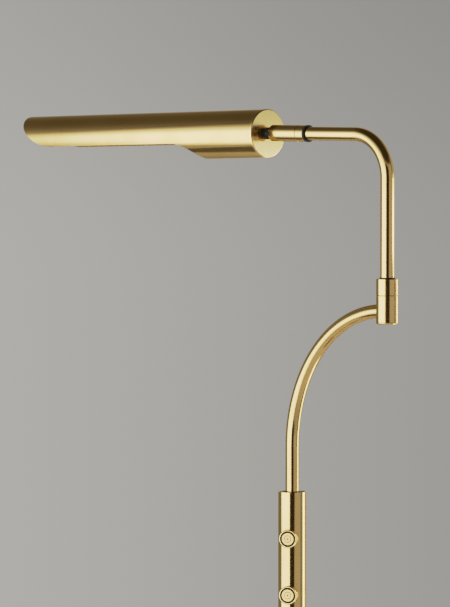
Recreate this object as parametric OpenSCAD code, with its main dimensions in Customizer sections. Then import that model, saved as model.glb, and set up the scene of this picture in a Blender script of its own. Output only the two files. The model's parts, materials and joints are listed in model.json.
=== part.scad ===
// Adjustable arm floor lamp: a weighted round base, a three-piece post with two push
// buttons, a curved lower arm, a cranked upper arm, and a scooped trough shade with an LED bar.
// Millimetres, +Z up. The origin is on the floor, on the axis of the post.

/* [Post] */
// Height of the top of the post above the floor
post_top = 1055; // [900:5:1200]
// Outer diameter of the post
post_d = 28; // [27:0.5:30]
// Wall of the post tubes
post_wall = 1.2; // [1:0.1:1.5]

/* [Base] */
// Diameter of the base
base_d = 254; // [220:1:300]
// Height of the base
base_h = 20; // [18:1:26]

/* [Buttons] */
// Depth of the upper button's centre below the top of the post
button_drop = 46; // [44:1:60]
// Distance between the two buttons
button_pitch = 56.5; // [40:0.5:70]
// Diameter of a button
button_d = 12.5; // [10:0.5:13]
// How far a button travels
button_travel = 1.2; // [0.5:0.1:1.4]

/* [Arms] */
// Outer diameter of the arm tubes
arm_d = 13.5; // [13:0.5:14]
// Wall of the arm tubes
arm_wall = 1; // [0.8:0.1:1.2]
// Direction in which the lower arm points, seen from above
lower_arm_azimuth = -35; // [-90:1:90]
// Direction in which the upper arm points, seen from above
upper_arm_azimuth = 151; // [90:1:200]
// Height above the post at which the lower arm starts to bend
lower_bend_start = 45.5; // [30:0.5:80]
// Radius of the lower arm's bend
lower_bend_r = 139.5; // [125:0.5:150]
// Angle of the lower arm's bend
lower_bend_angle = 87.2; // [84:0.1:89]
// Distance from the post's axis to the elbow's axis
elbow_reach = 142.4; // [141:0.1:146]
// Height above the post at which the upper arm starts to bend
upper_bend_start = 313.3; // [280:0.1:340]
// Radius of the upper arm's bend
upper_bend_r = 43; // [35:1:60]
// Rise of the upper arm's horizontal leg towards the head
arm_rise = 1.3; // [0:0.1:3]
// Length of the horizontal leg, from the bend to the head's end cap
leg_length = 119.2; // [100:0.1:150]

/* [Head] */
// Outer diameter of the shade
shade_d = 48.8; // [46:0.1:52]
// Length of the shade
shade_length = 354; // [340:1:370]
// Wall of the shade
shade_wall = 1; // [0.8:0.1:1.4]
// Droop of the head below the horizontal
head_droop = 0.3; // [0:0.1:3]
// Length of the full round part of the shade, next to the end cap
drum_length = 83; // [75:1:95]
// Height of the shade's rim below its axis
rim_drop = 8.6; // [6:0.1:10]

/* [Hidden] */
$fn = 96;

antique_brass = [0.72, 0.58, 0.30];
light_brass = [0.90, 0.78, 0.50];
black_nylon = [0.06, 0.06, 0.07];
steel_grey = [0.62, 0.63, 0.65];
cast_grey = [0.25, 0.25, 0.26];

eps = 0.01;
post_r = post_d / 2;
post_bore_r = post_r - post_wall;
arm_r = arm_d / 2;
arm_bore_r = arm_r - arm_wall;
tail_lap = 0.4;
tail_step = 0.01;

// Base and post joints
pad_h = 2;
cover_wall = 1.2;
base_r = base_d / 2;
cover_lip_r = 4;
weight_r = base_r - cover_wall - 0.6;
nipple_r = 5;
nipple_bore_r = 3.5;
nut_pocket_r = 15;
nut_pocket_top = 14;
washer_h = 1.6;
nut_h = 4;
grommet_bore_r = 3.1;
grommet_r = 5;
grommet_z = 8;
lead_r = 2;
lead_z = 4.6;
lead_turn_r = 7;
lead_setback = 30;
post_foot_h = 9;
section_length = (post_top - base_h) / 3;
plug_length = 24;
stud_r = 8;
stud_bore_r = 5;
stud_length = 40;

// Post head: bush, switches and buttons
bush_length = 25;
bush_floor = 5;
bush_recess = 0.6;
pivot_neck_r = 4.5;
running_gap = 0.05;
free_gap = 0.3;
carrier_r = post_bore_r - 0.2;
carrier_top = post_top - button_drop + 10.5;
carrier_bottom = post_top - button_drop - button_pitch - 13;
button_r = button_d / 2;
bezel_r = 9.3;
bezel_rim_r = 8.55;
bezel_bore_r = 8;
bezel_front = 18;
button_face = 18.2;
barrel_end = 6;
plunger_top = 3.2;
stem_end = plunger_top + free_gap + button_travel;
button_back = post_r - 1.2;
wire_r = 1.5;

// Elbow, with heights above the top of the post
elbow_r = 10.7;
elbow_bottom = 172.2;
elbow_plug_h = 1.9;
elbow_seam = 200;
elbow_top = 216.4;
elbow_cavity_r = 8;
elbow_web = 194.5;
elbow_tube_seat = 203.5;
elbow_spindle_r = 4;
elbow_spindle_end = 188.5;

// Head joint, with distances measured back along the leg from the end cap's face
ring_r = 8.25;
ring_front = 44.1;
ring_length = 10.4;
seal_r = 8.4;
seal_h = 2;
leg_tube_end = 47;
sleeve_front = 7.2;
sleeve_cavity_r = 6.5;
sleeve_web = 37.5;
roll_spindle_front = sleeve_web - 7;
roll_spindle_r = 3.5;
ball_r = 6.4;
ball_depth = 11.7;
stud_flange_r = 6;
stud_flange_h = 1.5;
ball_neck_r = 4.5;
ball_lip_r = 6.05;

// Head, with distances measured along the shade from the end cap's face
shade_r = shade_d / 2;
shade_bore_r = shade_r - shade_wall;
cap_h = 2.6;
cap_edge_r = 1.2;
hub_r = 11;
hub_end = 9;
bulkhead_u = 76;
throat_r = 48;
scoop_r = 58;
arc_steps = 18;
led_start = bulkhead_u + 2;
led_end = shade_length - 18;
channel_base = 13;
chip_count = 24;
chip_pitch = (led_end - led_start - 24) / (chip_count - 1);

function arc_points(centre, radius, from, to, steps) =
    [for (i = [0:steps]) let (a = from + (to - from) * i / steps)
        centre + radius * [cos(a), sin(a)]];

// A closed ring of points round each point of a path, for coils
function cross_ring(p, dir, r, sides) =
    let (side = [dir[1], -dir[0], 0] / norm([dir[0], dir[1], 0]), up = cross(side, dir))
    [for (k = [0:sides - 1]) p + r * (cos(360 * k / sides) * side + sin(360 * k / sides) * up)];

// A helical coil spring along +Z, standing on z = 0
module coil(mean_r, wire, turns, height, per_turn = 16, sides = 6) {
    steps = turns * per_turn;
    rise = height - 2 * wire;
    function at(i) = [
        mean_r * cos(360 * i / per_turn),
        mean_r * sin(360 * i / per_turn),
        wire + rise * i / steps];
    rings = [for (i = [0:steps])
        let (d = at(i + 0.5) - at(i - 0.5)) cross_ring(at(i), d / norm(d), wire, sides)];
    faces = concat(
        [[for (k = [0:sides - 1]) k]],
        [[for (k = [sides - 1:-1:0]) steps * sides + k]],
        [for (i = [0:steps - 1], k = [0:sides - 1])
            let (a = i * sides + k, b = i * sides + (k + 1) % sides)
            [a, a + sides, b + sides, b]]);
    polyhedron([for (ring = rings, p = ring) p], faces, convexity = 6);
}

// A pipe along +Z, solid where the bore is 0
module pipe(r, bore, h) {
    linear_extrude(h) difference() {
        circle(r);
        if (bore > 0) circle(bore);
    }
}

// A hexagon nut along +Z, across flats, with its bore
module hex_nut(flats, bore, h) {
    difference() {
        cylinder(r = flats / 2 / cos(30), h = h, $fn = 6);
        translate([0, 0, -1]) cylinder(r = bore, h = h + 2);
    }
}

// A pipe that starts upright at the origin and bends towards +X
module bend(r, bore, bend_r, angle) {
    translate([bend_r, 0, 0]) mirror([1, 0, 0]) rotate([90, 0, 0])
        rotate_extrude(angle = angle) translate([bend_r, 0]) difference() {
            circle(r);
            if (bore > 0) circle(bore);
        }
}

// A straight pipe up from z0, a bend at z1, and a straight tail of the given length.
// The tail is a hair thinner in the wall and sunk a little into the bend's end.
module cranked_pipe(r, bore, z0, z1, bend_r, angle, tail) {
    translate([0, 0, z0]) pipe(r, bore, z1 - z0);
    translate([0, 0, z1]) {
        bend(r, bore, bend_r, angle);
        translate([bend_r * (1 - cos(angle)), 0, bend_r * sin(angle)])
            rotate([0, angle, 0]) translate([0, 0, -tail_lap])
            pipe(r - tail_step, bore > 0 ? bore + tail_step : 0, tail + tail_lap);
    }
}

// Places
module at_button(drop) translate([0, 0, post_top - drop]) rotate([90, 0, 0]) children();
module at_buttons() {
    at_button(button_drop) children();
    at_button(button_drop + button_pitch) children();
}
module at_lower_arm() translate([0, 0, post_top]) rotate([0, 0, lower_arm_azimuth]) children();
module at_upper_arm() {
    at_lower_arm() translate([elbow_reach, 0, 0])
        rotate([0, 0, upper_arm_azimuth - lower_arm_azimuth]) children();
}
// +Z runs along the leg towards the head, from the end of the bend
module at_leg() {
    at_upper_arm()
        translate([upper_bend_r * (1 - sin(arm_rise)), 0,
            upper_bend_start + upper_bend_r * cos(arm_rise)])
        rotate([0, 90 - arm_rise, 0]) children();
}
// +Z runs back from the end cap's face towards the bend
module at_sleeve() at_leg() translate([0, 0, leg_length]) mirror([0, 0, 1]) children();
// +X runs along the shade from the end cap's face, +Z up
module at_head() {
    at_leg() translate([0, 0, leg_length - ball_depth])
        rotate([0, arm_rise - 90 + head_droop, 0]) translate([ball_depth, 0, 0]) children();
}
module along_head(u) at_head() translate([u, 0, 0]) rotate([0, 90, 0]) rotate([0, 0, 90])
    children();

// Base

module base_pad() color(black_nylon) {
    cylinder(r = base_r - 4, h = pad_h);
}

module base_weight() color(cast_grey) {
    top = base_h - cover_wall;
    shoulder = top - 3.8;
    channel_w = 2 * grommet_r + 1;
    difference() {
        rotate_extrude() polygon([
            [0, pad_h], [weight_r, pad_h], [weight_r, shoulder], [weight_r - 3, top], [0, top]]);
        cylinder(r = nipple_r + 0.2, h = base_h + 1);
        cylinder(r = nut_pocket_r, h = nut_pocket_top);
        // Channel for the lead, from the rim to the nut pocket
        translate([-channel_w / 2, 0, 0]) cube([channel_w, base_r + 1, grommet_z + channel_w / 2]);
    }
}

// Half of the section of a round cover that is drawn in by a wall thickness, with a rounded lip
module cover_section(inset) {
    corner = [base_r - cover_lip_r, base_h - cover_lip_r];
    translate([0, 1 - inset]) square([corner[0], base_h - 1]);
    translate([0, 1 - inset]) square([base_r - inset, corner[1] - 1 + inset]);
    intersection() {
        translate(corner) circle(cover_lip_r - inset);
        translate(corner) square(cover_lip_r);
    }
}

module base_cover() color(antique_brass) {
    difference() {
        rotate_extrude() difference() {
            cover_section(0);
            cover_section(cover_wall);
        }
        translate([0, 0, base_h - 3]) cylinder(r = nipple_r + 0.2, h = 6);
        translate([0, base_r - 6, grommet_z]) rotate([-90, 0, 0])
            cylinder(r = grommet_r, h = 12);
    }
}

module base_washer() color(steel_grey) {
    translate([0, 0, nut_pocket_top - washer_h]) pipe(13, nipple_r + 0.2, washer_h);
}

module base_nut() color(steel_grey) {
    translate([0, 0, nut_pocket_top - washer_h - nut_h]) hex_nut(16, nipple_r, nut_h);
}

module base_nipple() color(steel_grey) {
    bottom = nut_pocket_top - washer_h - nut_h;
    translate([0, 0, bottom]) pipe(nipple_r, nipple_bore_r, base_h + plug_length - bottom);
}

// Grommet in the cover's rear edge: a flange outside and a neck through the wall
module cord_grommet() color(black_nylon) {
    translate([0, base_r - 3.6, grommet_z]) rotate([-90, 0, 0]) rotate_extrude() {
        translate([grommet_bore_r, 0]) square([grommet_r - grommet_bore_r, 6]);
        translate([grommet_bore_r, 4.2]) square([grommet_r + 1.6 - grommet_bore_r, 1.8]);
    }
}

// Post

module post_foot() color(antique_brass) {
    foot_r = post_r + 4;
    translate([0, 0, base_h]) rotate_extrude() polygon([
        [post_r, 0], [foot_r + 1, 0], [foot_r + 1, 2.5], [foot_r, 3.2], [foot_r - 0.6, 6.4],
        [post_r + 1, post_foot_h - 0.6], [post_r + 0.5, post_foot_h], [post_r, post_foot_h]]);
}

module tube_section(index) {
    translate([0, 0, base_h + index * section_length]) pipe(post_r, post_bore_r, section_length);
}

module post_lower() color(antique_brass) tube_section(0);
module post_middle() color(antique_brass) tube_section(1);

module post_upper() color(antique_brass) {
    difference() {
        tube_section(2);
        at_buttons() cylinder(r = bezel_bore_r, h = post_r + 5);
    }
}

// Threaded plugs pressed into the ends of the post's tubes
module joint_plugs() color(steel_grey) {
    translate([0, 0, base_h]) pipe(post_bore_r, nipple_r, plug_length);
    for (i = [1, 2]) translate([0, 0, base_h + i * section_length]) {
        translate([0, 0, -plug_length]) pipe(post_bore_r, stud_r, plug_length);
        pipe(post_bore_r, stud_r, plug_length);
    }
}

module joint_studs() color(steel_grey) {
    for (i = [1, 2]) translate([0, 0, base_h + i * section_length - stud_length / 2])
        pipe(stud_r, stud_bore_r, stud_length);
}

// The lead inside the base and post: along the weight's channel, then up to the switch board
module post_wire() color(black_nylon) {
    rise_start = lead_z + lead_turn_r;
    rotate([0, 0, 90]) {
        translate([lead_turn_r, 0, lead_z]) rotate([0, 90, 0])
            cylinder(r = lead_r, h = base_r - lead_setback - lead_turn_r);
        translate([0, 0, rise_start]) mirror([0, 0, 1]) bend(lead_r, 0, lead_turn_r, 90);
        translate([0, 0, rise_start]) cylinder(r = lead_r, h = carrier_bottom - 2 - rise_start);
    }
}

// Nylon bush in the post's top: a running bore for the arm and a floor with a smaller bore
module post_bush() color(black_nylon) {
    translate([0, 0, post_top - bush_recess - bush_length]) rotate_extrude() polygon([
        [pivot_neck_r + running_gap, 0], [post_bore_r, 0], [post_bore_r, bush_length - 0.4],
        [post_bore_r - 0.4, bush_length], [arm_r + running_gap, bush_length],
        [arm_r + running_gap, bush_floor], [pivot_neck_r + running_gap, bush_floor]]);
}

module arm_thrust_washer() color("white") {
    translate([0, 0, post_top - bush_recess - bush_length + bush_floor])
        pipe(arm_r - 0.1, pivot_neck_r + 0.1, 0.5);
}

// Turned surround of each button: it seats on the round post and reaches inside it
module button_bezels() color(light_brass) {
    at_buttons() difference() {
        rotate_extrude() polygon([
            [bezel_bore_r - 0.6, barrel_end], [bezel_bore_r, barrel_end],
            [bezel_bore_r, post_r - 4.2], [bezel_r, post_r - 4.2], [bezel_r, bezel_front - 1.5],
            [bezel_r - 0.15, bezel_front - 0.85], [bezel_rim_r + 0.2, bezel_front - 0.15],
            [bezel_rim_r - 0.1, bezel_front], [bezel_bore_r, bezel_front],
            [bezel_bore_r, post_r], [bezel_bore_r - 0.6, post_r - 0.6]]);
        // Groove for the clip
        translate([0, 0, barrel_end + 1.2]) pipe(bezel_bore_r + 1, bezel_bore_r - 0.3, 0.8);
        bezel_saddle();
    }
}

// The post's own round, cut from the bezel outside its barrel
module bezel_saddle() {
    difference() {
        rotate([-90, 0, 0]) cylinder(r = post_r, h = 40, center = true);
        translate([0, 0, -20]) cylinder(r = bezel_bore_r, h = 60);
    }
}

module bezel_clips() color(steel_grey) {
    at_buttons() translate([0, 0, barrel_end + 1.25]) linear_extrude(0.7) difference() {
        circle(bezel_bore_r + 0.8);
        circle(bezel_bore_r - 0.3);
        translate([-2.5, 0]) square([5, bezel_bore_r + 2]);
    }
}

// Dark ring between each button and its bezel
module button_rings() color(black_nylon) {
    at_buttons() rotate_extrude() polygon([
        [button_r + 0.07, post_r - 0.5], [bezel_bore_r, post_r],
        [bezel_bore_r, bezel_front - 0.3], [bezel_bore_r - 0.3, bezel_front],
        [button_r + 0.37, bezel_front], [button_r + 0.07, bezel_front - 0.3]]);
}

module button_springs() color(steel_grey) {
    spring_foot = 3.6;
    at_buttons() translate([0, 0, spring_foot]) coil(4.4, 0.35, 3.5, button_back - spring_foot - 0.05);
}

// Moulded carrier that holds the switch board behind the buttons
module switch_carrier() color(black_nylon) {
    difference() {
        translate([0, 0, carrier_bottom]) cylinder(r = carrier_r, h = carrier_top - carrier_bottom);
        // Flat front, behind the bezel clips
        translate([-20, -20, carrier_bottom - 1])
            cube([40, 20 - barrel_end + 0.1, carrier_top - carrier_bottom + 2]);
        at_buttons() cylinder(r = 6.2, h = 20);
        // Slot for the board and its switches
        translate([-9.2, -3.4, carrier_bottom - 1]) cube([18.4, 6, carrier_top - carrier_bottom + 2]);
        // Wire channel down the back
        translate([-4, 5, carrier_bottom - 1]) cube([8, 20, carrier_top - carrier_bottom + 2]);
    }
}

module switch_board() color("darkgreen") {
    translate([-9, 1, carrier_bottom + 1]) cube([18, 1.6, carrier_top - carrier_bottom - 2]);
}

module tact_switches() color(black_nylon) {
    at_buttons() {
        translate([-3, -3, -1]) cube([6, 6, 3.4]);
        translate([0, 0, 2.4]) cylinder(r = 1.7, h = plunger_top - 2.4);
    }
}

// A button: a flat brass cap with an engraved ring and dot, and a stem towards its switch
module push_button(drop) {
    engraving = button_face - 0.15;
    at_button(drop) {
        rotate_extrude() polygon([
            [0, button_back], [button_r, button_back], [button_r, button_face - 0.25],
            [button_r - 0.25, button_face], [3.6, button_face], [3.6, engraving],
            [3.1, engraving], [3.1, button_face], [0.8, button_face], [0.8, engraving],
            [0, engraving]]);
        translate([0, 0, stem_end]) cylinder(r = 2.2, h = button_back - stem_end + eps);
    }
}

module upper_button() color(light_brass) push_button(button_drop);
module lower_button() color(light_brass) push_button(button_drop + button_pitch);

// Lower arm

arm_foot = -bush_recess - bush_length + bush_floor + 0.8;
pivot_floor = -bush_recess - bush_length;

// Hollow stud pressed into the arm's lower end, with its neck through the bush
module arm_pivot() color(steel_grey) {
    at_lower_arm() rotate_extrude() polygon([
        [2.5, pivot_floor - 5], [pivot_neck_r, pivot_floor - 5], [pivot_neck_r, arm_foot],
        [arm_bore_r, arm_foot], [arm_bore_r, arm_foot + 14], [2.5, arm_foot + 14]]);
}

module arm_pivot_nut() color(steel_grey) {
    at_lower_arm() translate([0, 0, pivot_floor - free_gap - 3.6]) hex_nut(14, pivot_neck_r, 3.6);
}

module lower_arm_tube() color(antique_brass) {
    tail = (elbow_reach - elbow_cavity_r - 0.2 - lower_bend_r * (1 - cos(lower_bend_angle)))
        / sin(lower_bend_angle);
    at_lower_arm() cranked_pipe(arm_r, arm_bore_r, arm_foot, lower_bend_start,
        lower_bend_r, lower_bend_angle, tail);
}

// Height of the lower arm's centre line where it meets the elbow
elbow_entry = lower_bend_start + lower_bend_r * sin(lower_bend_angle)
    + (elbow_reach - lower_bend_r * (1 - cos(lower_bend_angle))) / tan(lower_bend_angle);

module elbow_socket() color(antique_brass) {
    at_lower_arm() translate([elbow_reach, 0, 0]) difference() {
        rotate_extrude() polygon([
            [elbow_cavity_r, elbow_bottom + elbow_plug_h],
            [elbow_r, elbow_bottom + elbow_plug_h], [elbow_r, elbow_seam - 0.4],
            [elbow_r - 0.25, elbow_seam - 0.15], [elbow_spindle_r + running_gap, elbow_seam - 0.15],
            [elbow_spindle_r + running_gap, elbow_web], [elbow_cavity_r, elbow_web]]);
        translate([-elbow_reach, 0, 0]) arm_entry();
    }
}

// The hole in the socket's side that the arm is brazed into
module arm_entry() {
    translate([elbow_reach, 0, elbow_entry]) rotate([0, lower_bend_angle - 180, 0])
        cylinder(r = arm_r, h = 20);
}

module elbow_plug() color(antique_brass) {
    at_lower_arm() translate([elbow_reach, 0, elbow_bottom]) rotate_extrude() polygon([
        [0, 0], [elbow_r - 1.6, 0], [elbow_r - 0.7, 0.35], [elbow_r - 0.15, 1.0],
        [elbow_r, elbow_plug_h - 0.3], [elbow_r - 0.2, elbow_plug_h],
        [elbow_cavity_r, elbow_plug_h], [elbow_cavity_r, elbow_plug_h + 3.5],
        [elbow_cavity_r - 2, elbow_plug_h + 3.5], [elbow_cavity_r - 2, elbow_plug_h],
        [0, elbow_plug_h]]);
}

module elbow_seam_washer() color(black_nylon) {
    at_lower_arm() translate([elbow_reach, 0, elbow_seam - 0.15])
        pipe(elbow_r - 0.7, elbow_spindle_r + 0.2, 0.2);
}

module lower_arm_wire() color("ivory") {
    tail = elbow_reach - lower_bend_r * (1 - cos(lower_bend_angle)) + 2;
    at_lower_arm() cranked_pipe(wire_r, 0, pivot_floor - 4.5, lower_bend_start,
        lower_bend_r, lower_bend_angle, tail);
}

// Upper arm

module elbow_collar() color(antique_brass) {
    at_upper_arm() rotate_extrude() polygon([
        [elbow_spindle_r, elbow_seam + 0.15], [elbow_r - 0.25, elbow_seam + 0.15],
        [elbow_r, elbow_seam + 0.4], [elbow_r, elbow_top - 0.7], [elbow_r - 0.2, elbow_top - 0.2],
        [elbow_r - 0.7, elbow_top], [arm_r, elbow_top], [arm_r, elbow_tube_seat],
        [elbow_spindle_r, elbow_tube_seat]]);
}

// Hollow bolt: its head sits inside the tube and its shank runs through the socket's web
module elbow_spindle() color(steel_grey) {
    at_upper_arm() rotate_extrude() polygon([
        [2, elbow_spindle_end], [elbow_spindle_r, elbow_spindle_end],
        [elbow_spindle_r, elbow_tube_seat], [arm_bore_r, elbow_tube_seat],
        [arm_bore_r, elbow_tube_seat + 3], [2, elbow_tube_seat + 3]]);
}

module elbow_washer() color(steel_grey) {
    at_upper_arm() translate([0, 0, elbow_web - free_gap - 1]) pipe(7.2, elbow_spindle_r, 1);
}

module elbow_nut() color(steel_grey) {
    at_upper_arm() translate([0, 0, elbow_web - free_gap - 5]) hex_nut(12, elbow_spindle_r, 4);
}

module upper_arm_tube() color(antique_brass) {
    at_upper_arm() cranked_pipe(arm_r, arm_bore_r, elbow_tube_seat, upper_bend_start,
        upper_bend_r, 90 - arm_rise, leg_length - leg_tube_end);
}

module head_ring() color(antique_brass) {
    at_sleeve() rotate_extrude() polygon([
        [roll_spindle_r, ring_front + 0.15], [ring_r - 0.2, ring_front + 0.15],
        [ring_r, ring_front + 0.35], [ring_r, ring_front + ring_length - 0.5],
        [ring_r - 0.5, ring_front + ring_length], [arm_r, ring_front + ring_length],
        [arm_r, leg_tube_end], [roll_spindle_r, leg_tube_end]]);
}

// Trim rings where the tube enters the ring and the elbow's collar
module head_ring_seal() color(black_nylon) {
    at_sleeve() translate([0, 0, ring_front + ring_length])
        pipe(seal_r, arm_r + running_gap, seal_h);
}

module elbow_seal() color(black_nylon) {
    at_upper_arm() translate([0, 0, elbow_top]) pipe(arm_r + 0.8, arm_r + running_gap, 1);
}

module roll_spindle() color(steel_grey) {
    at_sleeve() rotate_extrude() polygon([
        [2, roll_spindle_front], [roll_spindle_r, roll_spindle_front], [roll_spindle_r, leg_tube_end],
        [arm_bore_r, leg_tube_end], [arm_bore_r, leg_tube_end + 3], [2, leg_tube_end + 3]]);
}

module roll_washer() color(steel_grey) {
    at_sleeve() translate([0, 0, sleeve_web - free_gap - 1]) pipe(6, roll_spindle_r, 1);
}

module roll_nut() color(steel_grey) {
    at_sleeve() translate([0, 0, sleeve_web - free_gap - 1 - 4]) hex_nut(10, roll_spindle_r, 4);
}

module upper_arm_wire() color("ivory") {
    at_upper_arm() cranked_pipe(wire_r, 0, elbow_spindle_end + 0.5, upper_bend_start,
        upper_bend_r, 90 - arm_rise, leg_length - roll_spindle_front - 0.5);
}

// Head joint

// Sleeve that turns about the leg and holds the ball: lip, ball bore, cavity and web
module head_sleeve() color(antique_brass) {
    at_sleeve() rotate_extrude() polygon([
        [ball_lip_r, sleeve_front], [ring_r - 0.5, sleeve_front], [ring_r, sleeve_front + 0.5],
        [ring_r, ring_front - 0.35], [ring_r - 0.2, ring_front - 0.15],
        [roll_spindle_r + running_gap, ring_front - 0.15],
        [roll_spindle_r + running_gap, sleeve_web], [sleeve_cavity_r, sleeve_web],
        [sleeve_cavity_r, sleeve_front + 1.5], [ball_lip_r, sleeve_front + 0.5]]);
}

module ball_cup() color("white") {
    at_sleeve() difference() {
        translate([0, 0, ball_depth + 1.5]) pipe(sleeve_cavity_r, 2.2, 6.5);
        translate([0, 0, ball_depth]) sphere(ball_r + 0.06);
    }
}

module cup_spring() color(steel_grey) {
    at_sleeve() translate([0, 0, ball_depth + 8]) coil(5.2, 0.5, 3.5, 7.3);
}

module cup_clip() color(steel_grey) {
    at_sleeve() translate([0, 0, ball_depth + 15.4]) pipe(sleeve_cavity_r, 4.4, 0.9);
}

// Black ball with a neck through the end cap, and a flange that rests on the cap's face
module ball_stud() color(black_nylon) {
    along_head(0) difference() {
        union() {
            translate([0, 0, -ball_depth]) sphere(ball_r);
            translate([0, 0, -ball_depth]) cylinder(r = ball_neck_r, h = ball_depth + hub_end + 4.5);
            translate([0, 0, -stud_flange_h - 3])
                cylinder(r1 = ball_neck_r, r2 = stud_flange_r, h = 3);
            translate([0, 0, -stud_flange_h]) cylinder(r = stud_flange_r, h = stud_flange_h);
        }
        translate([0, 0, -ball_depth - 20]) cylinder(r = 1.8, h = 80);
    }
}

module stud_nut() color(steel_grey) {
    along_head(hub_end) hex_nut(13, ball_neck_r, 4);
}

// Head

// Half of the cap's face, with its rounded edge
module cap_face_section() {
    translate([ball_neck_r, 0]) square([shade_r - cap_edge_r - ball_neck_r, cap_edge_r]);
    intersection() {
        translate([shade_r - cap_edge_r, cap_edge_r]) circle(cap_edge_r);
        translate([shade_r - cap_edge_r, 0]) square(cap_edge_r);
    }
}

module end_cap() color(light_brass) {
    along_head(0) rotate_extrude() cap_face_section();
    along_head(0) rotate_extrude() polygon([
        [ball_neck_r, cap_edge_r], [shade_r, cap_edge_r], [shade_r, cap_h],
        [shade_bore_r, cap_h], [shade_bore_r, cap_h + 3], [shade_bore_r - 1, cap_h + 3],
        [shade_bore_r - 1, cap_h], [hub_r, cap_h], [hub_r, hub_end], [ball_neck_r, hub_end]]);
}

// The shade's cut, seen from the side: a throat arc, a straight rim and a scooped tip
module shade_cut() {
    throat_drop = shade_r + 1 - rim_drop;
    throat_start = acos(1 - throat_drop / throat_r);
    throat_u = drum_length + throat_r * sin(acos(1 - (shade_r - rim_drop) / throat_r));
    scoop_u = shade_length - sqrt(pow(scoop_r, 2) - pow(scoop_r - shade_r - rim_drop, 2));
    scoop_end = asin((scoop_r - shade_r - rim_drop - 1) / scoop_r);
    outline = concat(
        arc_points([throat_u, -rim_drop - throat_r], throat_r, 90 + throat_start, 90, arc_steps),
        arc_points([scoop_u, scoop_r - rim_drop], scoop_r, -90, -scoop_end, arc_steps),
        [[shade_length + 20, shade_r + 1], [shade_length + 20, -shade_r - 1]]);
    rotate([90, 0, 0]) linear_extrude(shade_d + 10, center = true) polygon(outline);
}

module shade() color(antique_brass) {
    at_head() difference() {
        translate([cap_h, 0, 0]) rotate([0, 90, 0]) pipe(shade_r, shade_bore_r, shade_length - cap_h);
        shade_cut();
    }
}

// Plate that closes the round part of the shade, notched for the LED channel's wires
module head_bulkhead() color(antique_brass) {
    along_head(bulkhead_u) linear_extrude(1.5) difference() {
        circle(shade_bore_r);
        translate([0, 17]) circle(2.5);
    }
}

// Width of the LED channel, and its cross-section across the shade
channel_w = 26;
module led_channel() color("silver") {
    along_head(led_start) linear_extrude(led_end - led_start) difference() {
        intersection() {
            circle(shade_bore_r);
            translate([-channel_w / 2, channel_base]) square([channel_w, shade_r]);
        }
        for (x = [-7.5, 0, 7.5]) translate([x - 2, channel_base + 2]) square([4, 4.5]);
        for (side = [-1, 1]) translate([side * (channel_w / 2 - 1.2) - 0.6, channel_base - 1])
            square([1.2, 2.2]);
    }
}

module led_board() color("white") {
    along_head(led_start + 4) translate([-6, channel_base - 1.2])
        cube([12, 1.2, led_end - led_start - 8]);
}

module led_chips() color([0.95, 0.85, 0.45]) {
    for (i = [0:chip_count - 1]) along_head(led_start + 12 + i * chip_pitch)
        translate([-1.4, channel_base - 1.2 - 0.8, -1.75]) cube([2.8, 0.8, 3.5]);
}

// Opal cover with a shallow curved face, its legs snapped into the channel's grooves
module diffuser() color([0.95, 0.95, 0.92]) {
    skin = 1.2;
    w = channel_w / 2 - 0.6;
    sag = 2.4;
    face_r = (w * w + sag * sag) / (2 * sag);
    leg = channel_base - 5;
    spread = asin(w / face_r);
    along_head(led_start + 2) linear_extrude(led_end - led_start - 4) polygon(concat(
        [[w, channel_base + 1]],
        arc_points([0, leg - sag + face_r], face_r, -90 + spread, -90 - spread, 10),
        [[-w, channel_base + 1], [-w + skin, channel_base + 1], [-w + skin, leg + skin]],
        arc_points([0, leg - sag + face_r], face_r - skin, -90 - spread + 3, -90 + spread - 3, 10),
        [[w - skin, leg + skin], [w - skin, channel_base + 1]]));
}

module diffuser_ends() color("white") {
    for (u = [led_start, led_end - 2]) along_head(u) linear_extrude(2)
        translate([-channel_w / 2 + 0.6, channel_base - 8]) square([channel_w - 1.2, 8]);
}

// LED driver in the round part of the shade: the board and its three tallest components
module driver_board() color("darkgreen") {
    at_head() translate([18, -11, -15]) {
        cube([50, 22, 1.6]);
        translate([6, 5, 1.6]) cube([12, 12, 9]);
        translate([27, 11, 1.6]) cylinder(r = 4, h = 11);
        translate([38, 4, 1.6]) cube([7, 14, 5]);
    }
}

module head_wire() color("ivory") {
    along_head(-ball_depth - 5.5) cylinder(r = wire_r - 0.1, h = ball_depth + 5.5 + 24);
}

base_pad();
base_weight();
base_cover();
base_washer();
base_nut();
base_nipple();
cord_grommet();
post_foot();
joint_plugs();
joint_studs();
post_lower();
post_middle();
post_upper();
post_wire();
post_bush();
arm_thrust_washer();
button_bezels();
bezel_clips();
button_rings();
button_springs();
switch_carrier();
switch_board();
tact_switches();
upper_button();
lower_button();
arm_pivot();
arm_pivot_nut();
lower_arm_tube();
elbow_socket();
elbow_plug();
elbow_seam_washer();
lower_arm_wire();
elbow_collar();
elbow_seal();
head_ring_seal();
elbow_spindle();
elbow_washer();
elbow_nut();
upper_arm_tube();
head_ring();
roll_spindle();
roll_washer();
roll_nut();
upper_arm_wire();
head_sleeve();
ball_cup();
cup_spring();
cup_clip();
ball_stud();
stud_nut();
end_cap();
shade();
head_bulkhead();
led_channel();
led_board();
led_chips();
diffuser();
diffuser_ends();
driver_board();
head_wire();
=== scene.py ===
"""Adjustable arm floor lamp: finishes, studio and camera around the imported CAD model.

Metres, +Z up, with the origin on the floor and on the post's axis, as in the CAD model.
"""

import json
import math

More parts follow.
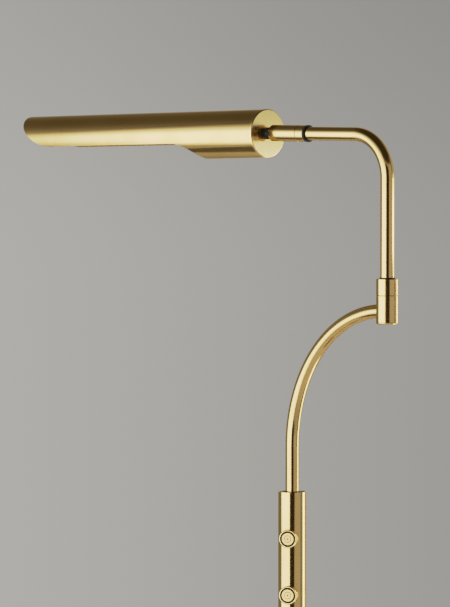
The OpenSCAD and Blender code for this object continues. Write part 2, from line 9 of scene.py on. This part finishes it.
import bmesh
import bpy
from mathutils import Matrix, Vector

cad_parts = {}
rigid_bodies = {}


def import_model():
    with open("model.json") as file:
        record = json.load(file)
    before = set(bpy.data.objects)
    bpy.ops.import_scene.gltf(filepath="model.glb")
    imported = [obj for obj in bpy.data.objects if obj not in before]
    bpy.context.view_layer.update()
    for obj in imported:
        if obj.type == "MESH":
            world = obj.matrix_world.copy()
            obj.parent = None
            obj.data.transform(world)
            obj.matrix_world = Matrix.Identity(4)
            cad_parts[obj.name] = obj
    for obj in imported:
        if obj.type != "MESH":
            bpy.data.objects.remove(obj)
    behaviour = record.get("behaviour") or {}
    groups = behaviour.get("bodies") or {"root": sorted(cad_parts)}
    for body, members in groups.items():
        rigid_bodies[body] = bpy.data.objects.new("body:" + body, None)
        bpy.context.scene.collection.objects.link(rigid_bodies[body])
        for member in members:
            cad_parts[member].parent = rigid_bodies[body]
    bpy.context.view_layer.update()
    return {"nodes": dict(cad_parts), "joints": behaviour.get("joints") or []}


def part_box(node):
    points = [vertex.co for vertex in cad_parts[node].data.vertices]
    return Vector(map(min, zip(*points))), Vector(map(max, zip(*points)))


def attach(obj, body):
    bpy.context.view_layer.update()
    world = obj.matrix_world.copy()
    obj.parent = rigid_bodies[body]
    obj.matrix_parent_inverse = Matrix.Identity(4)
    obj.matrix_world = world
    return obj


for left_over in list(bpy.data.objects):
    bpy.data.objects.remove(left_over)
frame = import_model()

NODES = frame["nodes"]
JOINTS = {joint["name"]: joint for joint in frame["joints"]}
UP = Vector((0, 0, 1))
POST_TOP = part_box("post_upper")[1].z

# Reflectance of the brass, clean and aged, as linear colours
BRASS = (0.80, 0.57, 0.235, 1)
AGED_BRASS = (0.66, 0.44, 0.155, 1)
PALE_BRASS = (0.88, 0.66, 0.30, 1)
BUTTON_BRASS = (0.84, 0.54, 0.24, 1)
EDGE_TINT = (0.95, 0.82, 0.55, 1)
LACQUER, LACQUER_ROUGHNESS = 0.2, 0.08

# Arm tubes, from their centrelines
ARM_RADIUS = 0.00675
LOWER_BEND_RADIUS = 0.1395
UPPER_BEND_RADIUS = 0.043


# ---------------------------------------------------------------- node graphs


def add(tree, kind, inputs=None, **settings):
    """A new shader node; an input is a value, or another node's output to join to it."""
    node = tree.nodes.new("ShaderNode" + kind)
    for key, value in settings.items():
        setattr(node, key, value)
    for key, value in (inputs or {}).items():
        if isinstance(value, bpy.types.NodeSocket):
            tree.links.new(value, node.inputs[key])
        else:
            node.inputs[key].default_value = value
    return node


def calc(tree, operation, a, b=0.0):
    return add(tree, "Math", {0: a, 1: b}, operation=operation).outputs[0]


def dot(tree, point, direction):
    joined = add(tree, "VectorMath", {0: point, 1: tuple(direction)}, operation="DOT_PRODUCT")
    return joined.outputs["Value"]


def combine(tree, x, y, z):
    return add(tree, "CombineXYZ", {"X": x, "Y": y, "Z": z}).outputs[0]


def span(tree, value, low, high, to_low, to_high, smooth=False):
    """A value from low to high, as one from to_low to to_high, held beyond the ends."""
    kind = "SMOOTHSTEP" if smooth else "LINEAR"
    inputs = {"Value": value, "From Min": low, "From Max": high, "To Min": to_low, "To Max": to_high}
    return add(tree, "MapRange", inputs, interpolation_type=kind).outputs["Result"]


def noise(tree, vector, scale=1.0, detail=2.0, roughness=0.5):
    inputs = {"Vector": vector, "Scale": scale, "Detail": detail, "Roughness": roughness}
    return add(tree, "TexNoise", inputs).outputs[0]


def blend_colours(tree, share, first, second):
    node = add(tree, "Mix", {"Factor": share}, data_type="RGBA")
    for name, value in (("A", first), ("B", second)):
        socket = next(s for s in node.inputs if s.name == name and s.type == "RGBA")
        if isinstance(value, bpy.types.NodeSocket):
            tree.links.new(value, socket)
        else:
            socket.default_value = value
    return next(s for s in node.outputs if s.type == "RGBA")


def mix_values(tree, share, first, second):
    return add(tree, "Mix", {0: share, 2: first, 3: second}, data_type="FLOAT").outputs[0]


def start_material(name):
    """A new material with its tree, its main shader and the piece's own coordinates."""
    made = bpy.data.materials.new(name)
    made.use_nodes = True
    tree = made.node_tree
    shader = tree.nodes["Principled BSDF"]
    return made, tree, shader, add(tree, "TexCoord").outputs["Object"]


def connect(tree, shader, **sources):
    for name, source in sources.items():
        tree.links.new(source, shader.inputs[name.replace("_", " ")])


def bump(tree, shader, height, depth):
    node = add(tree, "Bump", {"Height": height, "Distance": depth, "Strength": 1.0})
    tree.links.new(node.outputs[0], shader.inputs["Normal"])


# ---------------------------------------------------------------- grain directions


def straight_grain(axis, along, across):
    """Coordinates for noise that is stretched or packed along an axis, in cells per metre."""

    def build(tree, point):
        whole = add(tree, "VectorMath", {0: point, "Scale": across}, operation="SCALE").outputs[0]
        extra = calc(tree, "MULTIPLY", dot(tree, point, axis), along - across)
        spread = add(tree, "VectorMath", {0: tuple(axis), "Scale": extra}, operation="SCALE")
        return add(tree, "VectorMath", {0: whole, 1: spread.outputs[0]}, operation="ADD").outputs[0]

    return build


def bent_grain(foot, forward, bend_start, bend_radius, along, across):
    """The same for a tube that rises from foot and bends over to run forward."""
    side = UP.cross(forward)

    def build(tree, point):
        ahead = calc(tree, "SUBTRACT", dot(tree, point, forward), foot.dot(forward))
        height = calc(tree, "SUBTRACT", dot(tree, point, UP), bend_start)
        inward = calc(tree, "MAXIMUM", calc(tree, "SUBTRACT", bend_radius, ahead), 0)
        above = calc(tree, "MAXIMUM", height, 0)
        squares = calc(tree, "ADD", calc(tree, "POWER", inward, 2), calc(tree, "POWER", above, 2))
        depth = calc(tree, "SUBTRACT", bend_radius, calc(tree, "SQRT", squares))
        turned = calc(tree, "MULTIPLY", calc(tree, "ARCTAN2", above, inward), bend_radius)
        before = calc(tree, "MINIMUM", height, 0)
        after = calc(tree, "MAXIMUM", calc(tree, "SUBTRACT", ahead, bend_radius), 0)
        length = calc(tree, "ADD", calc(tree, "ADD", turned, before), after)
        return combine(
            tree,
            calc(tree, "MULTIPLY", depth, across),
            calc(tree, "MULTIPLY", dot(tree, point, side), across),
            calc(tree, "MULTIPLY", length, along),
        )

    return build


def spun_grain(across):
    """Coordinates for noise in rings about the post's axis."""

    def build(tree, point):
        parts = add(tree, "SeparateXYZ", {0: point}).outputs
        squares = calc(tree, "ADD", calc(tree, "POWER", parts[0], 2), calc(tree, "POWER", parts[1], 2))
        radius = calc(tree, "MULTIPLY", calc(tree, "SQRT", squares), across)
        return combine(tree, radius, calc(tree, "MULTIPLY", parts[2], across), 0)

    return build


# ---------------------------------------------------------------- finishes


def brass(name, grain, smooth, rough, colours=(BRASS, AGED_BRASS), relief=1e-6):
    """Brushed brass under lacquer: fine lines in the gloss, and slow patches of patina."""
    made, tree, shader, point = start_material(name)
    vector = grain(tree, point)
    lines = noise(tree, vector, detail=3)
    patches = noise(tree, point, scale=22, detail=3)
    patina = calc(tree, "MULTIPLY", span(tree, patches, 0.35, 0.7, 0.1, 0.8, True), 0.6)
    streaked = calc(tree, "ADD", patina, span(tree, lines, 0.3, 0.7, 0.28, 0.0))
    colour = blend_colours(tree, streaked, *colours)
    gloss = calc(
        tree,
        "ADD",
        span(tree, lines, 0.3, 0.7, smooth, rough),
        span(tree, patches, 0.3, 0.7, -0.012, 0.012),
    )
    connect(tree, shader, Base_Color=colour, Roughness=gloss)
    shader.inputs["Metallic"].default_value = 1
    shader.inputs["Specular Tint"].default_value = EDGE_TINT
    shader.inputs["Coat Weight"].default_value = LACQUER
    shader.inputs["Coat Roughness"].default_value = LACQUER_ROUGHNESS
    bump(tree, shader, lines, relief)
    return made


def moulded(name, colour, rough=0.45, scale=2500, depth=8e-6):
    """Moulded nylon, rubber or a wire's sleeve: a fine eggshell surface with slow mottling."""
    made, tree, shader, point = start_material(name)
    fine = noise(tree, point, scale=scale, detail=3)
    slow = noise(tree, point, scale=60, detail=2)
    lighter = tuple(min(1.0, part * 1.5 + 0.01) for part in colour[:3]) + (1,)
    connect(
        tree,
        shader,
        Base_Color=blend_colours(tree, span(tree, slow, 0.3, 0.7, 0, 0.6), colour, lighter),
        Roughness=span(tree, fine, 0.3, 0.7, rough - 0.08, rough + 0.08),
    )
    shader.inputs["Specular IOR Level"].default_value = 0.3
    bump(tree, shader, fine, depth)
    return made


def machined(name, colour, smooth, rough, scale=1600, depth=2e-6):
    """Plated or turned metal that isn't brass: faint tool marks and cloudy plating."""
    made, tree, shader, point = start_material(name)
    marks = noise(tree, straight_grain(UP, scale, scale / 12)(tree, point), detail=2)
    cloud = noise(tree, point, scale=90, detail=3)
    darker = tuple(part * 0.72 for part in colour[:3]) + (1,)
    connect(
        tree,
        shader,
        Base_Color=blend_colours(tree, span(tree, cloud, 0.3, 0.75, 0, 0.7), colour, darker),
        Roughness=span(tree, marks, 0.3, 0.7, smooth, rough),
    )
    shader.inputs["Metallic"].default_value = 1
    bump(tree, shader, marks, depth)
    return made


def cast(name, colour):
    """Cast iron: dark, dull and pebbled."""
    made, tree, shader, point = start_material(name)
    pebbles = noise(tree, point, scale=700, detail=5, roughness=0.65)
    stain = noise(tree, point, scale=35, detail=4)
    rust = (0.12, 0.06, 0.035, 1)
    connect(
        tree,
        shader,
        Base_Color=blend_colours(tree, span(tree, stain, 0.5, 0.8, 0, 0.5), colour, rust),
        Roughness=span(tree, pebbles, 0.3, 0.7, 0.5, 0.8),
    )
    shader.inputs["Metallic"].default_value = 0.6
    bump(tree, shader, pebbles, 8e-5)
    return made


def board(name, mask, track, cells):
    """A circuit board: solder mask with the raised tracks showing through in another shade."""
    made, tree, shader, point = start_material(name)
    inputs = {"Vector": point, "Scale": cells, "Randomness": 0.25}
    edges = add(tree, "TexVoronoi", inputs, feature="DISTANCE_TO_EDGE", distance="CHEBYCHEV")
    tracks = span(tree, edges.outputs["Distance"], 0.09, 0.13, 1, 0)
    speckle = noise(tree, point, scale=3000)
    connect(
        tree,
        shader,
        Base_Color=blend_colours(tree, tracks, mask, track),
        Roughness=span(tree, speckle, 0.3, 0.7, 0.25, 0.4),
    )
    bump(tree, shader, tracks, 2e-5)
    return made


def phosphor(name):
    """The yellow resin over an unlit diode."""
    made, tree, shader, point = start_material(name)
    grains = noise(tree, point, scale=2600, detail=2)
    pale, deep = (0.92, 0.72, 0.16, 1), (0.82, 0.52, 0.06, 1)
    connect(tree, shader, Base_Color=blend_colours(tree, grains, pale, deep))
    shader.inputs["Roughness"].default_value = 0.3
    bump(tree, shader, grains, 1e-5)
    return made


def opal(name):
    """Extruded opal acrylic: milky, with faint draw lines along the bar."""
    made, tree, shader, point = start_material(name)
    lines = noise(tree, straight_grain(SHADE_AXIS, 8, 1300)(tree, point), detail=2)
    haze = noise(tree, point, scale=40)
    white, cream = (0.84, 0.83, 0.79, 1), (0.78, 0.76, 0.70, 1)
    connect(
        tree,
        shader,
        Base_Color=blend_colours(tree, haze, white, cream),
        Roughness=span(tree, lines, 0.3, 0.7, 0.22, 0.34),
    )
    shader.inputs["Subsurface Weight"].default_value = 0.6
    shader.inputs["Subsurface Radius"].default_value = (1, 0.9, 0.8)
    shader.inputs["Subsurface Scale"].default_value = 0.002
    bump(tree, shader, lines, 4e-6)
    return made


def flat_direction(start, end):
    """The level direction from one point to another."""
    return Vector((end.x - start.x, end.y - start.y, 0)).normalized()


ELBOW = Vector(JOINTS["elbow_swing"]["pos_m"])
BALL = Vector(JOINTS["head_tilt"]["pos_m"])
LEG_AXIS = Vector(JOINTS["head_roll"]["axis"]).normalized()
SHADE_AXIS = LEG_AXIS  # near enough for the grain, since the shade droops by a fraction of a degree
ELBOW_DIRECTION = flat_direction(Vector(), ELBOW)
HEAD_DIRECTION = flat_direction(ELBOW, BALL)


def bend_start(node, radius):
    """The height at which an arm tube leaves its upright part."""
    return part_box(node)[1].z - ARM_RADIUS - radius


def paint(finish, *nodes):
    for node in nodes:
        for slot in NODES[node].material_slots:
            slot.material = finish


# Grain in cells per metre: along a drawn tube, across it, and along a turned part's axis
LENGTHWISE = 9
FINE = 1500
TURNED, TURNED_ACROSS = 2600, 60
CAP_ALONG = 40
BUTTON_ALONG = 1100
SPUN = 1400

paint(
    brass("post_brass", straight_grain(UP, LENGTHWISE, FINE), 0.10, 0.17),
    "post_lower", "post_middle", "post_upper",
)
for tube, foot, forward, radius in (
    ("lower_arm_tube", Vector(), ELBOW_DIRECTION, LOWER_BEND_RADIUS),
    ("upper_arm_tube", ELBOW, HEAD_DIRECTION, UPPER_BEND_RADIUS),
):
    grain = bent_grain(foot, forward, bend_start(tube, radius), radius, LENGTHWISE, FINE)
    paint(brass(tube.replace("tube", "brass"), grain, 0.10, 0.17), tube)
paint(
    brass("shade_brass", straight_grain(SHADE_AXIS, LENGTHWISE, FINE), 0.11, 0.18),
    "shade", "head_bulkhead",
)
paint(
    brass("elbow_brass", straight_grain(UP, TURNED, TURNED_ACROSS), 0.12, 0.2),
    "elbow_collar", "elbow_plug", "elbow_socket",
)
paint(
    brass("leg_brass", straight_grain(LEG_AXIS, TURNED, TURNED_ACROSS), 0.12, 0.2),
    "head_ring", "head_sleeve",
)
paint(
    brass("cap_brass", straight_grain(UP, CAP_ALONG, FINE), 0.16, 0.25, (PALE_BRASS, BRASS), 3e-6),
    "end_cap",
)
paint(
    brass(
        "button_brass", straight_grain(UP, BUTTON_ALONG, FINE), 0.3, 0.4,
        (BUTTON_BRASS, AGED_BRASS), 3e-6,
    ),
    "upper_button", "lower_button",
)
paint(
    brass("bezel_brass", straight_grain(UP, BUTTON_ALONG, FINE), 0.24, 0.34, (PALE_BRASS, BRASS), 3e-6),
    "button_bezels",
)
paint(brass("spun_brass", spun_grain(SPUN), 0.14, 0.24), "base_cover", "post_foot")

# The elbow seal and the head ring seal are black to stand in for the dark lines at the foot of the upper
# tube and at the head ring's end: painted shade. The other parts here are black nylon.
paint(
    moulded("black_nylon", (0.007, 0.006, 0.006, 1), 0.45),
    "post_bush", "button_rings", "switch_carrier", "tact_switches", "ball_stud",
    "elbow_seam_washer", "elbow_seal", "head_ring_seal",
)
paint(
    moulded("white_nylon", (0.72, 0.71, 0.68, 1), 0.42),
    "arm_thrust_washer", "ball_cup", "diffuser_ends",
)
paint(moulded("rubber", (0.04, 0.04, 0.04, 1), 0.75, 1400, 3e-5), "base_pad", "cord_grommet")
paint(
    moulded("wire_sleeve", (0.03, 0.028, 0.026, 1), 0.5),
    "lower_arm_wire", "upper_arm_wire", "head_wire",
)
paint(moulded("lead_sleeve", (0.012, 0.012, 0.012, 1), 0.5), "post_wire")
paint(
    machined("steel", (0.58, 0.57, 0.55, 1), 0.22, 0.34),
    "base_nipple", "base_nut", "base_washer", "joint_plugs", "joint_studs", "arm_pivot",
    "arm_pivot_nut", "elbow_nut", "elbow_spindle", "roll_nut", "roll_spindle", "stud_nut",
)
paint(
    machined("spring_steel", (0.36, 0.35, 0.34, 1), 0.2, 0.3),
    "bezel_clips", "button_springs", "cup_clip", "cup_spring", "elbow_washer", "roll_washer",
)
paint(machined("aluminium", (0.76, 0.76, 0.77, 1), 0.28, 0.4), "led_channel")
paint(cast("cast_iron", (0.05, 0.048, 0.046, 1)), "base_weight")
paint(
    board("circuit_board", (0.01, 0.09, 0.035, 1), (0.03, 0.2, 0.08, 1), 400),
    "switch_board", "driver_board",
)
paint(board("led_board", (0.8, 0.8, 0.78, 1), (0.62, 0.6, 0.55, 1), 300), "led_board")
paint(phosphor("led_phosphor"), "led_chips")
paint(opal("opal"), "diffuser")


# ---------------------------------------------------------------- enamel marks on the buttons

# Inner and outer radius
MARK_RING = (0.0031, 0.0036)
MARK_DOT = (0.00002, 0.0008)
ENGRAVED = 0.00015
ENAMEL_BELOW_FACE = 0.00003
MARK_SIDES = 64


def enamel():
    """Brown enamel, a little uneven where it was wiped into the engraving."""
    made, tree, shader, point = start_material("brown_enamel")
    wiped = noise(tree, point, scale=2200, detail=3)
    dark, worn = (0.16, 0.075, 0.03, 1), (0.36, 0.2, 0.08, 1)
    connect(
        tree,
        shader,
        Base_Color=blend_colours(tree, span(tree, wiped, 0.45, 0.7, 0, 1), dark, worn),
        Roughness=span(tree, wiped, 0.3, 0.7, 0.3, 0.5),
    )
    bump(tree, shader, wiped, 1e-5)
    return made


def ring_solid(mesh, centre, inner, outer, front, back):
    """A flat ring about the Y direction, as a closed mesh; a tiny inner radius makes it a disc."""
    loops = []
    for radius, depth in ((outer, front), (outer, back), (inner, back), (inner, front)):
        turns = (2 * math.pi * k / MARK_SIDES for k in range(MARK_SIDES))
        loops.append([
            mesh.verts.new((centre.x + radius * math.cos(t), depth, centre.z + radius * math.sin(t)))
            for t in turns
        ])
    for first, second in zip(loops, loops[1:] + loops[:1]):
        for k in range(MARK_SIDES):
            following = (k + 1) % MARK_SIDES
            mesh.faces.new((first[k], first[following], second[following], second[k]))


def button_mark(button, finish):
    """The ring and dot inlaid in a button's face."""
    low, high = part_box(button)
    centre = (low + high) / 2
    front, back = low.y + ENAMEL_BELOW_FACE, low.y + ENGRAVED
    shape = bmesh.new()
    ring_solid(shape, centre, *MARK_RING, front, back)
    ring_solid(shape, centre, *MARK_DOT, front, back)
    bmesh.ops.recalc_face_normals(shape, faces=shape.faces)
    data = bpy.data.meshes.new(button + "_mark")
    shape.to_mesh(data)
    shape.free()
    data.materials.append(finish)
    mark = bpy.data.objects.new(button + "_mark", data)
    bpy.context.collection.objects.link(mark)
    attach(mark, button)


brown_enamel = enamel()
for button in ("upper_button", "lower_button"):
    button_mark(button, brown_enamel)


# ---------------------------------------------------------------- camera

CAMERA_AZIMUTH = math.radians(16.2)
CAMERA_DISTANCE = 3.2
CAMERA_SIDESTEP = -0.0675
CAMERA_RISE = 0.297
CAMERA_PITCH = math.radians(1.94)
CAMERA_LENS = 189.8
SENSOR_WIDTH = 36
VIEW_LIMIT = 100

TOWARDS_CAMERA = Vector((math.sin(CAMERA_AZIMUTH), -math.cos(CAMERA_AZIMUTH), 0))
CAMERA_RIGHT = Vector((math.cos(CAMERA_AZIMUTH), math.sin(CAMERA_AZIMUTH), 0))


def make_camera():
    lens = bpy.data.cameras.new("camera")
    lens.lens = CAMERA_LENS
    lens.sensor_width = SENSOR_WIDTH
    lens.clip_end = VIEW_LIMIT
    camera = bpy.data.objects.new("camera", lens)
    bpy.context.collection.objects.link(camera)
    camera.location = TOWARDS_CAMERA * CAMERA_DISTANCE + CAMERA_RIGHT * CAMERA_SIDESTEP
    camera.location.z = POST_TOP + CAMERA_RISE
    camera.rotation_euler = (math.pi / 2 - CAMERA_PITCH, 0, CAMERA_AZIMUTH)
    bpy.context.scene.camera = camera


# ---------------------------------------------------------------- studio


NEUTRAL = (1, 1, 1, 1)


def stage_sheet(name, outline, finish):
    """A flat stage sheet, unseen by the camera. Points are to the camera's right, towards it, and up."""
    mesh = bpy.data.meshes.new(name)
    points = [CAMERA_RIGHT * right + TOWARDS_CAMERA * near + UP * high for right, near, high in outline]
    mesh.from_pydata(points, [], [tuple(range(len(points)))])
    mesh.materials.append(finish)
    made = bpy.data.objects.new(name, mesh)
    bpy.context.collection.objects.link(made)
    made.visible_camera = False
    return made


def upright(start, end, low, high):
    """The corners of an upright sheet between two points in plan."""
    return [(*start, low), (*end, low), (*end, high), (*start, high)]


def ramp(tree, value, levels):
    """A value's share from a list of (value, share), with straight lines between."""
    total = None
    for (low, share_low), (high, share_high) in zip(levels, levels[1:]):
        part = span(tree, value, low, high, share_low, share_high)
        total = part if total is None else calc(tree, "ADD", total, calc(tree, "SUBTRACT", part, share_low))
    return total


def glow(name, radiance, up_levels, across=None, across_levels=None, tint=NEUTRAL):
    """Light from a sheet, with its share of the radiance at each height, and at each distance across."""
    made, tree, shader, point = start_material(name)
    tree.nodes.remove(shader)
    strength = calc(tree, "MULTIPLY", ramp(tree, dot(tree, point, UP), up_levels), radiance)
    if across:
        strength = calc(tree, "MULTIPLY", strength, ramp(tree, dot(tree, point, across), across_levels))
    emitter = add(tree, "Emission", {"Color": tint, "Strength": strength})
    tree.links.new(emitter.outputs[0], tree.nodes["Material Output"].inputs["Surface"])
    return made


SOFTBOX_TURN = math.radians(-63.5)
SOFTBOX_DISTANCE = 1.4
SOFTBOX_HALF = 1.2
SOFTBOX_LOW, SOFTBOX_HIGH = 0.08, 2.85
SOFTBOX_UP = [
    (SOFTBOX_LOW, 0.6), (0.35, 0.85), (1.0, 1.0), (1.5, 1.0), (1.66, 0.9),
    (1.9, 0.52), (2.15, 0.25), (2.5, 0.12), (SOFTBOX_HIGH, 0.05),
]
SOFTBOX_ACROSS = [(-SOFTBOX_HALF, 0.25), (-1.1, 0.4), (-0.95, 1.0), (SOFTBOX_HALF, 1.0)]
SOFTBOX_RADIANCE = 2.0
STRIP_RIGHT, STRIP_NEAR, STRIP_FAR, CARD_NEAR = 0.61, -0.065, -0.37, 0.16
STRIP_LOW, CARD_LOW, STRIP_HIGH = 0.2, 1.28, 1.45
STRIP_UP = [(STRIP_LOW, 1.0), (1.34, 1.0), (1.40, 0.4), (STRIP_HIGH, 0.15)]
STRIP_RADIANCE = 2.6

# The dark cloths, and a dim sheet just above the floor that puts painted shade into the metal's reflection
# of the floor
EVEN = [(0, 1.0), (3, 1.0)]
WARM_DARK = (1, 0.7, 0.32, 1)
WARM_FLOOR_SHADE = (1, 0.85, 0.6, 1)
FLAG_NEAR = 3
FLAG_OUTLINE = [
    (-1.2, 0), (0.84, 0), (0.90, 0.67), (1.30, 1.25), (1.30, 2.6), (-0.85, 2.6), (-0.85, 1.25),
    (-1.14, 0.67),
]
SIDE_FLAG_PLAN = (0.86, 0.29), (0.88, 0.11)
SIDE_FLAG_LOW, SIDE_FLAG_HIGH = 0.2, 2.0
FLOOR_SHADE_SHEET_HEIGHT = 0.01
FLOOR_SHADE_SHEET_PLAN = [(-1.6, -1.1), (-0.75, -1.1), (-0.95, -0.3), (-1.6, -0.3)]

OVERHEAD_SIZE, OVERHEAD_HEIGHT, OVERHEAD_POWER = 4.0, 4.0, 120


def make_lights():
    """A large softbox on the left, a near strip on the right, dark cloths and a dim floor sheet of painted
    shade, which only the metal reflects, and an overhead light for everything else."""
    away = Vector((math.sin(SOFTBOX_TURN), math.cos(SOFTBOX_TURN)))
    along = Vector((away.y, -away.x))
    start, end = (away * SOFTBOX_DISTANCE + along * side for side in (-SOFTBOX_HALF, SOFTBOX_HALF))
    across = CAMERA_RIGHT * along.x + TOWARDS_CAMERA * along.y
    softbox = glow("softbox_light", SOFTBOX_RADIANCE, SOFTBOX_UP, across, SOFTBOX_ACROSS)
    strip = glow("strip_light", STRIP_RADIANCE, STRIP_UP)
    strip_ends = (STRIP_RIGHT, STRIP_NEAR), (STRIP_RIGHT, STRIP_FAR)
    card_ends = (STRIP_RIGHT, CARD_NEAR), (STRIP_RIGHT, STRIP_NEAR)
    camera_flag = [(right, FLAG_NEAR, high) for right, high in FLAG_OUTLINE]
    floor_shade_sheet = [(*plan, FLOOR_SHADE_SHEET_HEIGHT) for plan in FLOOR_SHADE_SHEET_PLAN]
    planned = (
        ("softbox", softbox, upright(start, end, SOFTBOX_LOW, SOFTBOX_HIGH)),
        ("strip_box", strip, upright(*strip_ends, STRIP_LOW, STRIP_HIGH)),
        ("strip_card", strip, upright(*card_ends, CARD_LOW, STRIP_HIGH)),
        ("camera_flag", glow("camera_cloth", 0.022, EVEN, tint=WARM_DARK), camera_flag),
        (
            "side_flag", glow("side_cloth", 0.14, EVEN),
            upright(*SIDE_FLAG_PLAN, SIDE_FLAG_LOW, SIDE_FLAG_HIGH),
        ),
        # A dim sheet just above the pale floor, seen only by the metal: painted shade in its reflection of
        # the floor.
        ("floor_shade_sheet", glow("painted_floor_shade", 0.09, EVEN, tint=WARM_FLOOR_SHADE), floor_shade_sheet),
    )
    for name, finish, outline in planned:
        sheet = stage_sheet(name, outline, finish)
        sheet.visible_diffuse = False
        sheet.visible_shadow = False
        sheet.visible_transmission = False
    overhead = bpy.data.lights.new("overhead", "AREA")
    overhead.shape = "DISK"
    overhead.size = OVERHEAD_SIZE
    overhead.energy = OVERHEAD_POWER
    lamp = bpy.data.objects.new("overhead", overhead)
    lamp.location = UP * OVERHEAD_HEIGHT
    lamp.visible_glossy = False
    bpy.context.collection.objects.link(lamp)


FLOOR_RADIUS, FLOOR_FADE, FLOOR_SIDES = 5.6, 0.8, 96


def make_floor():
    """A pale round floor that fades out towards its rim, and doesn't show from below."""
    made, tree, shader, point = start_material("floor_paint")
    mottle = noise(tree, point, scale=3, detail=4)
    paint_a, paint_b = (0.60, 0.595, 0.575, 1), (0.64, 0.635, 0.615, 1)
    connect(tree, shader, Base_Color=blend_colours(tree, mottle, paint_a, paint_b))
    shader.inputs["Roughness"].default_value = 0.8
    reach = add(tree, "VectorMath", {0: point}, operation="LENGTH").outputs["Value"]
    fade = span(tree, reach, FLOOR_FADE, FLOOR_RADIUS, 1, 0, True)
    above = calc(tree, "SUBTRACT", 1, add(tree, "NewGeometry").outputs["Backfacing"])
    cover = calc(tree, "MULTIPLY", fade, above)
    connect(tree, shader, Alpha=cover)
    mesh = bpy.data.meshes.new("floor")
    turns = [2 * math.pi * k / FLOOR_SIDES for k in range(FLOOR_SIDES)]
    points = [(FLOOR_RADIUS * math.cos(t), FLOOR_RADIUS * math.sin(t), 0) for t in turns]
    mesh.from_pydata(points, [], [tuple(range(FLOOR_SIDES))])
    floor = bpy.data.objects.new("floor", mesh)
    bpy.context.collection.objects.link(floor)
    mesh.materials.append(made)


CEILING_LIGHT = 0.032
WALL_LIGHT, WALL_BACK_LEFT = 0.375, 0.17
WALL_TINT, CEILING_TINT = (1, 0.985, 0.94, 1), (1, 0.78, 0.42, 1)


def make_world():
    """A grey backdrop for the camera, and the far studio walls that the metal reflects."""
    world = bpy.data.worlds.new("studio")
    world.use_nodes = True
    bpy.context.scene.world = world
    tree = world.node_tree
    direction = add(tree, "TexCoord").outputs["Generated"]
    right = dot(tree, direction, CAMERA_RIGHT)
    near = dot(tree, direction, TOWARDS_CAMERA)
    height = dot(tree, direction, UP)
    # The camera's backdrop is painted lighter on the left and darker towards the top: painted light falloff
    # across it.
    backdrop = calc(
        tree,
        "ADD",
        span(tree, right, -0.14, 0.14, 0.328, 0.247, True),
        span(tree, height, -0.03, 0.10, 0, -0.042, True),
    )
    back_left = calc(tree, "MULTIPLY", span(tree, right, -0.1, 0, 1, 0), span(tree, near, -0.3, 0, 1, 0))
    wall = span(tree, back_left, 0, 1, WALL_LIGHT, WALL_BACK_LEFT)
    front_ceiling = span(tree, height, 0.42, 0.5, 0, 1)
    back_ceiling = span(tree, height, 0.3, 0.9, 0, 1)
    behind = span(tree, near, -0.2, 0, 1, 0)
    ceiling = mix_values(tree, behind, front_ceiling, back_ceiling)
    studio = mix_values(tree, ceiling, wall, CEILING_LIGHT)
    seen = add(tree, "LightPath").outputs["Is Camera Ray"]
    level = mix_values(tree, seen, studio, backdrop)
    warm = calc(tree, "MULTIPLY", ceiling, calc(tree, "SUBTRACT", 1, seen))
    background = tree.nodes["Background"]
    tree.links.new(level, background.inputs["Strength"])
    tint = blend_colours(tree, warm, WALL_TINT, CEILING_TINT)
    tree.links.new(tint, background.inputs["Color"])


TONE_WHITE = 2.0
TONE_CURVE = [(0, 0), (0.08, 0.10), (0.21, 0.27), (0.43, 0.53), (1.15, 0.78), (1.6, 0.86), (2.0, 0.90)]


def set_tones():
    """A soft shoulder, so that the bright bands in the brass keep their colour."""
    view = bpy.context.scene.view_settings
    view.view_transform = "Standard"
    view.use_curve_mapping = True
    mapping = view.curve_mapping
    mapping.white_level = (TONE_WHITE,) * 3
    curve = mapping.curves[3]
    ends = [TONE_CURVE[0], TONE_CURVE[-1]]
    for point, (light, shown) in zip((curve.points[0], curve.points[-1]), ends):
        point.location = (light / TONE_WHITE, shown)
    for light, shown in TONE_CURVE[1:-1]:
        curve.points.new(light / TONE_WHITE, shown)
    mapping.update()


make_camera()
make_lights()
make_floor()
make_world()
set_tones()
